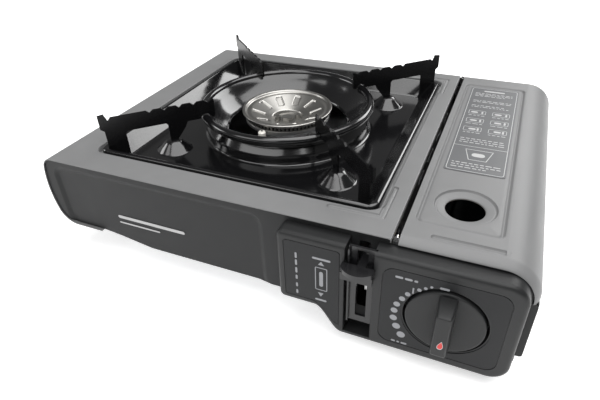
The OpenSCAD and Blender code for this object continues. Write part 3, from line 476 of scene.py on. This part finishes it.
def make_deck():
    shape = Shape()
    edge = [(0, 0.75), (0.1, 0.35), (0.35, 0.1), (0.75, 0)]
    rows = []
    for y, inset in ([(FRONT_Y + a, b) for a, b in edge]
                     + [(REAR_Y - a, b) for a, b in reversed(edge)]):
        z = DECK_Z - inset
        flange = [(DECK_END_X - inset, DECK_Z - 3), (DECK_END_X - inset, DECK_Z - 1.1),
                  (DECK_END_X - 0.3 - inset, z - 0.3), (DECK_END_X - 1.1 - inset, z)]
        section = flange + left_end(inset)
        section.append((HEEL_END_X, section[-1][1]))
        rows.append([(x, y, h) for x, h in section])
    ids = [shape.ring(row) for row in rows]
    crest = 3
    last_front = len(edge) - 1
    for i, (a, b) in enumerate(zip(ids, ids[1:])):
        if i == last_front:
            shape.bridge(a[:crest + 1], b[:crest + 1], closed=False)
            shape.bridge(a[crest + 1:], b[crest + 1:], closed=False)
        else:
            shape.bridge(a, b, closed=False)
    a, b = ids[last_front], ids[last_front + 1]
    seat_gap = 2.6
    half = PAN_HALF + seat_gap
    seat_depth = 4.7

    def seat(inset):
        h = half - inset
        return round_rect(PAN_X - h, PAN_Y - h, PAN_X + h, PAN_Y + h, 9.6 - inset, 8)

    seat_profile = [(-1.0, 0), (-0.5, 0.12), (-0.12, 0.5), (0, 1.0), (0, seat_depth - 0.6), (0.3, seat_depth),
                    (8.1, seat_depth)]
    holes = [shape.press(seat, seat_profile, top, bottom=False)]
    bead_profile = [(-0.5, 0), (-0.1, 0.12), (0.25, 0.7), (0.6, 1.1), (1.0, 1.2), (1.35, 1.05), (1.7, 0.9)]
    for flip in (1, -1):
        x = PAN_X + PAN_HALF + 4.8
        y = PAN_Y - flip * (PAN_HALF + 6.6)
        holes.append(shape.press(lambda g, y=y, flip=flip: corner_stroke(x, y, 32, 2.2 - g, flip),
                                 bead_profile, top))
    shape.fill([a[crest], a[crest + 1], b[crest + 1], b[crest]], holes)
    obj = piece("deck", shape, MATERIALS["deck_enamel"], "body", ["deck_shell"])
    thicken(obj, SHEET)
    even_shading(obj)


make_deck()


# ---------------------------------------------------------------- lid over the canister
SIGHT = (124.5, -69.7)
SIGHT_R = 11.8


def make_lid():
    shape = Shape()

    def section(inset):
        """Left edge, flat top, long round edge and side wall."""
        return ([(LID_X, DECK_Z - inset), (LID_CORNER[0] - 0.5, DECK_Z - inset)]
                + arc(*LID_CORNER, LID_EDGE_R - inset, 90, 0, 18)
                + [(RIGHT_X - inset, SKIRT_Z)])

    rows = []
    edge = [(0.0, 3.4), (0.05, 3.15), (0.4, 2.65), (1.1, 2.05), (2.2, 1.4), (3.6, 0.78), (5.2, 0.28),
            (7.0, 0.0)]
    back = [(0.0, 3.4), (0.02, 2.6), (0.1, 1.6), (0.3, 0.85), (0.6, 0.42), (1.0, 0.15), (1.4, 0.03),
            (1.9, 0.0)]
    for y, inset in ([(FRONT_Y + a, b) for a, b in edge] + [(REAR_Y - a, b) for a, b in reversed(back)]):
        rows.append([(x, y, z) for x, z in section(inset)])
    ids = [shape.ring(row) for row in rows]
    last_front = len(edge) - 1
    for i, (a, b) in enumerate(zip(ids, ids[1:])):
        if i == last_front:
            shape.bridge(a[1:], b[1:], closed=False)
        else:
            shape.bridge(a, b, closed=False)
    a, b = ids[last_front], ids[last_front + 1]
    panel_profile = [(-1.1, 0), (-0.6, 0.12), (-0.1, 0.7), (0.3, 1.25), (0.8, 1.45), (1.3, 1.3), (1.9, 0.75),
                     (2.4, 0.5)]
    x0, y0, x1, y1 = 99.7, FRONT_Y + 21.5, 147.9, REAR_Y - 18.1

    def panel(g):
        return round_rect(x0 + g, y0 + g, x1 - g, y1 - g, 4 - g)

    panel_ids = shape.loft([[top(u, v, d) for u, v in panel(g)] for g, d in panel_profile])
    sight_profile = [(18.9, 0.5), (18.5, 0.6), (18.15, 1.2), (17.7, 1.85), (17.1, 2.05), (16.5, 1.85),
                     (13.2, 2.5), (SIGHT_R + 0.5, 2.75), (SIGHT_R, 3.2), (SIGHT_R, 3.9)]
    sight = shape.loft([[top(u, v, d) for u, v in circle(SIGHT[0], SIGHT[1], r)] for r, d in sight_profile])
    shape.fill(panel_ids[-1], [sight[0]])
    groove_profile = [(-0.5, 0), (-0.1, 0.12), (0.3, 0.7), (0.7, 1.2), (1.1, 1.4), (1.5, 1.4)]

    def groove(g):
        r = 2 - g
        return (arc(149.8, FRONT_Y + 10, r, -90, 90, 8) + arc(112.5, FRONT_Y + 10, r, 90, 270, 8))

    holes = [panel_ids[0], shape.press(groove, groove_profile, top)]
    shape.fill([a[0], a[1], b[1], b[0]], holes)
    obj = piece("lid", shape, MATERIALS["deck_enamel"], "lid", ["canister_lid"])
    thicken(obj, SHEET)
    even_shading(obj)


make_lid()


# ---------------------------------------------------------------- front wall with its pressed panel
WALL_Y = span("front_wall")[0][1]
SIDE_X = RIGHT_X - 0.3
SIDE_LOW, SIDE_TOP = 21.5, SKIRT_Z - 0.6
LOW_Z = panel_low[2]
SKIRT_LOW = 22.7
WALL_CORNER_R = 17.1
PRESS_DEPTH = 1.7
LEVER_SLOT = (3.3, 27, 79)  # half width, lowest and highest point
SPINDLE_HOLE_R = 9


def wall_outline():
    right = LID_CORNER[0] + WALL_CORNER_R
    top_z = DECK_Z - SHEET
    points = s_step(43, SKIRT_LOW, 60, LOW_Z, 12)
    points += arc(right - 9, LOW_Z + 9, 9, -90, 0, 8) + [(right, SIDE_LOW)]
    points += arc(SIDE_X - 2, SIDE_LOW + 2, 2, -90, 0, 4) + arc(SIDE_X - 2, SIDE_TOP - 2, 2, 0, 90, 4)
    under_lid_z = LID_CORNER[1] + WALL_CORNER_R
    points += arc(*LID_CORNER, WALL_CORNER_R, -5, 90, 14)
    points += [(112.5, under_lid_z), (DECK_END_X, under_lid_z), (DECK_END_X, top_z)]
    points += left_end(SHEET)
    floor_z = points[-1][1]
    points += [(HEEL_END_X, floor_z), (HEEL_END_X + 17, floor_z - 2), (HEEL_END_X + 44, SKIRT_LOW)]
    return split_edges(points, 5)


def make_front_wall():
    shape = Shape()
    x0, z0, x1, z1, r = LEFT_X + 9.3, SKIRT_LOW - 20, 10.5, DECK_Z - 5, 10
    flank = 4.6

    def depth(x, z):
        """Depth of the press at a point, from how far it lies inside the rounded rectangle."""
        qx = abs(x - (x0 + x1) / 2) - (x1 - x0) / 2 + r
        qz = abs(z - (z0 + z1) / 2) - (z1 - z0) / 2 + r
        inward = r - math.hypot(max(qx, 0), max(qz, 0)) - min(max(qx, qz), 0)
        return PRESS_DEPTH * ease(inward / flank)

    outline = wall_outline()
    extra = []
    for i in range(9):
        g = flank * i / 8
        extra += split_edges(round_rect(x0 + g, z0 + g, x1 - g, z1 - g, r - g, 8), 4)
    ring = [Vector(p) for p in outline]
    extra = [p for p in extra if inside(Vector(p), ring) and min((Vector(p) - q).length for q in ring) > 0.8]

    def place(x, z):
        return (x, WALL_Y + depth(x, z), z)

    slot_half, slot_low, slot_high = LEVER_SLOT
    holes = [shape.ring([(x, WALL_Y, z) for x, z in loop]) for loop in (
        round_rect(LEVER_X - slot_half, slot_low, LEVER_X + slot_half, slot_high, 1),
        circle(KNOB_X, KNOB_Z, SPINDLE_HOLE_R, 32))]
    shape.fill(shape.ring([place(x, z) for x, z in outline]), holes, (0, 2), [place(x, z) for x, z in extra])
    # The front wall gets the darker copy of the deck enamel, so its shade is painted into the colour
    obj = piece("front_face", shape, MATERIALS["wall_enamel"], "body", ["front_wall"],
                outward=(0, -1, 0))
    thicken(obj, SHEET)


make_front_wall()


# ---------------------------------------------------------------- control panel
RECESS_R = KNOB_R + KNOB_GAP
LEVER_HALF = 8.3
PANEL_X0, PANEL_X1, PANEL_TOP = panel_low[0], panel_high[0], panel_high[2]


def panel_loop(g):
    """Outline of the panel g inside its edge, notched from above for the lever."""
    r, small = 12, 4
    nick = 0.2 * g
    right, left = LEVER_X + LEVER_HALF + nick, LEVER_X - LEVER_HALF - nick
    sill = max(11 - nick, LOW_Z + g + 0.8)
    return (arc(PANEL_X1 - r, LOW_Z + r, r - g, -90, 0, 12)
            + arc(PANEL_X1 - r, PANEL_TOP - r, r - g, 0, 90, 12)
            + [(right, PANEL_TOP - g), (right, sill), (left, sill), (left, PANEL_TOP - g)]
            + arc(PANEL_X0 + small, PANEL_TOP - small, small - g, 90, 180, 6)
            + arc(PANEL_X0 + small, 27 + small, small - g, 180, 270, 6)
            + s_step(48 + g / 2, 27 + g, 66 + g / 2, LOW_Z + g, 14))


def lock_loop(g):
    return ([(65 - g, 16 + g), (65 - g, 60)] + arc(63, 74, 2 - g, 0, 90, 4) + arc(31.3, 74, 2 - g, 90, 180, 4)
            + arc(30.3, 32.4, 1 - g, 180, 270, 3) + s_step(47 + g / 2, 31.4 + g, 65 - g, 16 + g, 12)[:-1])


def dial_loop(g):
    return round_rect(90 + g, 15 + g, 158.6 - g, 74.3 - g, 7 - g, 8)


def make_panel():
    shape = Shape()

    def place(x, z, depth):
        return (x, PANEL_Y + depth, z)

    rounding = [(0, WALL_Y - PANEL_Y), (0, 3.2), (0.08, 2.4), (0.3, 1.65), (0.65, 1.05), (1.1, 0.6),
                (1.7, 0.25), (2.4, 0.06), (3.1, 0)]
    outer = shape.loft([[place(x, z, depth) for x, z in panel_loop(g)] for g, depth in rounding])
    sink = [(-0.15, 0), (0, 0.12), (0, 0.5)]
    lock = shape.press(lock_loop, sink, place, axes=(0, 2))
    dial = shape.loft([[place(x, z, depth) for x, z in dial_loop(g)] for g, depth in sink])
    recess = [(RECESS_R + 0.4, 0.5), (RECESS_R + 0.1, 0.62), (RECESS_R, 1), (RECESS_R, 9), (6, 9)]
    knob = shape.lathe(recess, 96, lambda x, z, depth: place(KNOB_X + x, KNOB_Z + z, depth))
    shape.fill(dial[-1], [knob[0]], (0, 2))
    shape.fill(outer[-1], [lock, dial[0]], (0, 2))
    obj = piece("panel", shape, MATERIALS["panel_plastic"], "body", ["control_panel"],
                outward=(0, -1, 0))
    thicken(obj, 0.4, even=False)
    even_shading(obj)


make_panel()


# ---------------------------------------------------------------- drip pan with its wind ring
def pan_place(x, y, z):
    return (PAN_X + x, PAN_Y + y, z)


def make_pan():
    shape = Shape()

    def square(inset, r):
        h = PAN_HALF - inset
        return round_rect(-h, -h, h, h, r, 7)

    rim = [(0, 7, -4.8), (0, 7, -2.2), (0.15, 6.9, -1.2), (0.7, 6.6, -0.45), (1.6, 6.3, -0.08), (2.4, 6, 0),
           (3.2, 6, -0.15), (3.9, 6, -0.7), (4.3, 6, -1.5), (12.7, 5, -11.2), (13.2, 5, -11.7),
           (13.9, 5, -12.15), (14.9, 5, -12.4)]
    edges = shape.loft([[pan_place(x, y, PAN_RIM_Z + z) for x, y in square(inset, r)] for inset, r, z in rim])
    floor = PAN_FLOOR_Z
    bead = (67.5, floor + 20.4)
    outer_wall = [(70.6, 0), (69.4, 0.05), (68.5, 0.35), (67.7, 0.95), (67.3, 1.8), (67.1, 3), (67, 5.6),
                  (66.9, 6.7), (66.6, 7.6), (66.1, 8.3), (62.9, 12.3), (62.5, 13.0), (62.3, 13.8),
                  (62.4, 14.8), (62.9, 15.7), (63.8, 16.5), (64.9, 17.0)]
    inner_slope = [(62.6, 18.6), (60.9, 16.4), (59, 14), (56.4, 11.2), (53.2, 8), (50.6, 5.4), (49.6, 4.2),
                   (49.3, 2.8)]
    over = [(r, z - floor) for r, z in arc(bead[0], bead[1], 3.2, -105, 180, 26)]
    wind_ring = shape.lathe([(r, floor + z) for r, z in outer_wall + over + inner_slope], 160, pan_place)
    holes = [wind_ring[0]]
    dome = [(14.6, 0), (14, 0.06), (13.4, 0.3), (12.8, 0.8), (7, 6.3), (6.3, 7.0), (5.2, 7.7), (4, 8.1),
            (2.6, 8.2)]
    for corner in range(4):
        a = math.radians(45 + 90 * corner)
        x, y = 95 * math.cos(a), 95 * math.sin(a)
        rings = shape.lathe([(r, floor + z) for r, z in dome], 56,
                            lambda u, v, z, x=x, y=y: pan_place(x + u, y + v, z))
        shape.faces.append(tuple(rings[-1]))
        holes.append(rings[0])
    shape.fill(edges[-1], holes)
    obj = piece("pan", shape, MATERIALS["pan_enamel"], "pan", ["drip_pan"])
    thicken(obj, SHEET)
    even_shading(obj)


make_pan()


# ---------------------------------------------------------------- burner cap
def make_cap():
    shape = Shape()
    seat = CAP_TOP - 2.7
    x0, y0 = (cap_low[0] + cap_high[0]) / 2, (cap_low[1] + cap_high[1]) / 2
    under = [(13.3, -10), (13.6, -9.7), (13.7, -7.3), (30.6, -0.3), (31.6, 0), (35.2, 0), (36.2, 0.5),
             (36.9, 1.3)]
    lip = [(37, 1.8), (36.9, 2.2), (36.6, 2.5), (36.1, 2.68), (35.5, 2.66), (34.9, 2.5), (34.4, 2.15),
           (34.0, 1.5), (33.6, 0.9), (33.0, 0.55), (32.2, 0.5), (31.2, 0.75), (30.6, 0.8), (29.9, 0.6)]
    bowl = [(29.9 - 16.6 * i / 30, 0.6 - 6.8 * i / 30) for i in range(1, 31)]
    hub = [(12.9, -6.6), (12.6, -7.1), (12.4, -8.4), (12.2, -8.75), (11.8, -8.8)]
    dents = 10

    def place(x, y, z):
        r = math.hypot(x, y)
        turn = math.degrees(math.atan2(y, x)) - 22.5
        near = (turn + 180 / dents) % (360 / dents) - 180 / dents
        across = abs(r * math.sin(math.radians(near)))
        along = ease((r - 18.0) / 1.8) * ease((29.0 - r) / 1.6)
        return (x0 + x, y0 + y, seat + z - 1.7 * along * ease((2.9 - across) / 1.5) * (z > -6.5))

    rings = shape.lathe(under, 360, lambda x, y, z: (x0 + x, y0 + y, seat + z))
    top_rings = shape.lathe(lip + bowl + hub, 360, place)
    shape.bridge(rings[-1], top_rings[0])
    shape.faces.append(tuple(rings[0]))
    shape.faces.append(tuple(top_rings[-1]))
    piece("cap", shape, MATERIALS["nickel"], "body", ["burner_cap"], smooth=50)


make_cap()


# ---------------------------------------------------------------- knob's disc, its grip and its flame
FACE_Y = PANEL_Y - 0.9


def make_disc():
    shape = Shape()
    back = disc_high[1]
    profile = [(KNOB_R - 0.6, back), (KNOB_R - 0.1, back - 0.15), (KNOB_R, back - 0.6),
               (KNOB_R, FACE_Y + 0.9), (KNOB_R - 0.1, FACE_Y + 0.5), (KNOB_R - 0.35, FACE_Y + 0.2),
               (KNOB_R - 0.8, FACE_Y + 0.03), (KNOB_R - 1.4, FACE_Y), (KNOB_R - 2.2, FACE_Y + 0.02),
               (KNOB_R / 2, FACE_Y + 0.1), (3, FACE_Y + 0.15)]
    rings = shape.lathe(profile, 128, lambda x, z, y: (KNOB_X + x, y, KNOB_Z + z))
    for end in (rings[0], rings[-1]):
        shape.faces.append(tuple(end))
    piece("disc", shape, MATERIALS["knob_plastic"], "knob", ["knob_disc"], outward=(0, -1, 0))


make_disc()


def make_grip():
    shape = Shape()
    depth = FACE_Y - TIP_Y
    levels = [(0, 0), (0.25, 0), (0.5, 0), (0.75, 0), (0.9, 0), (0.95, 0.12), (0.985, 0.4), (1, 0.9)]
    rings = []
    for t, inset in levels:
        half = 5.2 - 1.1 * t - inset
        low = -20.3 + 9.9 * t ** 1.25 + inset
        high = 20.2 - 0.7 * t - inset
        outline = round_rect(-half, low, half, high, 1.3 - inset, 5)
        rings.append([(KNOB_X + x, FACE_Y + 0.3 - (depth + 0.3) * t, KNOB_Z + z) for x, z in outline])
    ids = shape.loft(rings)
    for end in (ids[0], ids[-1]):
        shape.fill(end, axes=(0, 2))
    piece("grip", shape, MATERIALS["knob_plastic"], "knob", ["knob_bar"], outward=(0, -1, 0))


def teardrop(grow, n=36):
    points = []
    for i in range(n):
        t = 2 * math.pi * i / n
        x, z = (1.75 + grow) * math.sin(t) * math.sin(t / 2) ** 1.2, (2.7 + grow * 1.4) * math.cos(t)
        points.append((x + 0.12 * z, z))
    return points


def make_flame():
    low, high = span("flame_mark")
    x0, z0 = (low[0] + high[0]) / 2, (low[2] + high[2]) / 2
    layers = (("flame_rim", 0.42, 0.05, "print_white", "label_film", []),
              ("flame", 0, 0.1, "flame_red", "flame_red", ["flame_mark"]))
    for name, grow, rise, mat, slot, replaced in layers:
        shape = Shape()
        shape.prism(teardrop(grow), lambda u, v, h: (x0 + u, TIP_Y + 0.01 - h, z0 + v), rise, (0, 2))
        piece(name, shape, MATERIALS[mat], "knob", replaced, outward=(0, -1, 0))


make_grip()
make_flame()


# ---------------------------------------------------------------- plain printed marks
MARKS_DEPTH = 1.4  # of the marks in the wall's press, a little above its floor
INK = 0.06


def bar(x, z, w, h):
    """Small bar with round ends, centred at x, z."""
    return [(x + u, z + v) for u, v in round_rect(-w / 2, -h / 2, w / 2, h / 2, min(w, h) * 0.49, 3)]


def print_marks(name, outlines, place, axes, outward, body, ink="print_white"):
    shape = Shape()
    for outline in outlines:
        outer, hole = outline if isinstance(outline, tuple) else (outline, None)
        shape.prism(outer, place, INK, axes, hole)
    piece(name, shape, MATERIALS[ink], body, [], outward=outward)


def frame_line(x0, y0, x1, y1, r, width):
    inner = round_rect(x0 + width, y0 + width, x1 - width, y1 - width, r - width)
    return (round_rect(x0, y0, x1, y1, r), inner)


def bar_row(x0, x1, y, h, seed):
    """Row of plain dashes between x0 and x1."""
    bars = []
    x = x0
    while x < x1 - 0.8:
        seed = (seed * 37 + 11) % 101
        w = min(1.2 + 3.4 * seed / 101, x1 - x)
        bars.append(bar(x + w / 2, y, w, h))
        x += w + 0.9
    return bars


def panel_place(u, v, h):
    return (u, OVERLAY_Y - h, v)


def make_dial_marks():
    dots = [(117.2, 67.6, 0.8), (114.2, 65.6, 1.0), (111.0, 63.3, 1.2), (105.1, 57.9, 1.55),
            (102.3, 53.4, 1.75), (99.7, 48.1, 1.9), (98.6, 42.7, 2.0), (98.6, 36.5, 2.15),
            (100.8, 30.2, 2.35), (104.1, 23.9, 2.5)]
    outlines = [circle(x, z, r, 28) for x, z, r in dots]
    outlines.append(bar(107.8, 61.6, 0.9, 4.4))
    outlines += bar_row(97.2, 109.8, 68.9, 1.5, 5) + [bar(124.0, 68.6, 5.2, 1.5)]
    outlines += bar_row(98.6, 108.2, 16.9, 1.4, 9)
    print_marks("dial_marks", outlines, panel_place, (0, 2), (0, -1, 0), "body", "print_grey")


def make_lock_marks():
    outlines = [frame_line(49.6, 42.0, 57.4, 60.4, 0.9, 0.55), bar(53.5, 51.2, 2.4, 12.0),
                bar(53.6, 67.0, 11.5, 1.5), bar(53.2, 33.6, 7.5, 1.5)]
    outlines.append([(51.6, 62.4), (55.4, 62.4), (53.5, 65.2)])
    outlines.append([(51.4, 39.8), (53.2, 36.6), (55.0, 39.8)])
    for z in (65.4, 59.8, 53.6, 47.8, 41.4, 35.6):
        outlines.append(bar(37.4, z, 1.3, 4.4 if z > 50 else 3.4))
    print_marks("lock_marks", outlines, panel_place, (0, 2), (0, -1, 0), "body", "print_grey")


def make_label_marks():
    low, high = span("lid_label")
    x0, x1, y0, y1 = low[0] + 1.2, high[0] - 1.2, low[1] + 1.2, high[1] - 1.2
    outlines = [frame_line(x0, y0, x1, y1, 2.2, 0.45), bar((x0 + x1) / 2, y1 - 6, 17, 2.4),
                bar((x0 + x1) / 2, y0 + 35.5, x1 - x0 - 1.2, 0.45)]
    for i, y in enumerate((y1 - 11.6, y1 - 14.4, y1 - 17.2, y1 - 27.6, y1 - 30.4, y1 - 38, y1 - 40.8)):
        outlines += bar_row(x0 + 3.4, x1 - 3.4 - 5 * (i % 3 == 2), y, 0.95, 13 + i)
    for row in range(3):
        y = y1 - 52 - 15.6 * row
        for x in (x0 + 9.5, x1 - 9.5):
            outlines.append(frame_line(x - 6.6, y - 3.6, x + 6.6, y + 3.6, 1.2, 0.4))
            outlines.append(bar(x - 2.2 + row, y, 5.4, 2.6))
            outlines.append(bar(x + 3.9, y, 1.4, 4.4))
            outlines += bar_row(x - 6.2, x + 6.2, y - 6.2, 0.8, 31 + row)
    for i in range(3):
        outlines += bar_row(x0 + 3, x1 - 3, y0 + 47.4 - 3.1 * i, 0.9, 53 + i)
    outlines.append(([(x0 + 9, y0 + 31), (x0 + 12.5, y0 + 16), (x1 - 12.5, y0 + 16), (x1 - 9, y0 + 31)],
                     [(x0 + 9.6, y0 + 30.5), (x0 + 13, y0 + 16.5), (x1 - 13, y0 + 16.5),
                      (x1 - 9.6, y0 + 30.5)]))
    outlines.append(bar((x0 + x1) / 2, y0 + 23.6, 9, 5))
    for i in range(3):
        outlines += bar_row(x0 + 2.6, x1 - 2.6 - 9 * (i == 2), y0 + 10.6 - 3.0 * i, 0.9, 71 + i)
    print_marks("label_marks", outlines, lambda u, v, h: (u, v, high[2] + h), (0, 1), (0, 0, 1), "lid")


def make_wall_marks():
    face_y = WALL_Y + MARKS_DEPTH
    outlines = [bar(-82, 46.4, 58, 2.6), bar(-93, 41.2, 36, 1.3)]
    print_marks("wall_marks", outlines, lambda u, v, h: (u, face_y - h, v), (0, 2), (0, -1, 0), "body")


make_dial_marks()
make_lock_marks()
make_label_marks()
make_wall_marks()


# ---------------------------------------------------------------- finish of the CAD parts that stay
SOFT_EDGE = 0.25
SOFT_EDGES = {"rear_wall": 0.5, "lever_guide": 0.2, "lock_lever": 0.4, "burner_ring": 0.1, "burner_body": 0.4,
              "cap_screw_left": 0.2, "cap_screw_right": 0.2, "regulator_body": 0.5, "regulator_cap": 0.4}
for name, node in nodes.items():
    slot = next(s["material_slot"] for s in frame["record"]["subparts"] if s["node"] == name)
    node.data.materials.clear()
    node.data.materials.append(MATERIALS["arm_enamel" if name.startswith("arm_") else slot])
    if name not in ("igniter_wire", "electrode_pin"):
        soften(node, SOFT_EDGES.get(name, SOFT_EDGE))
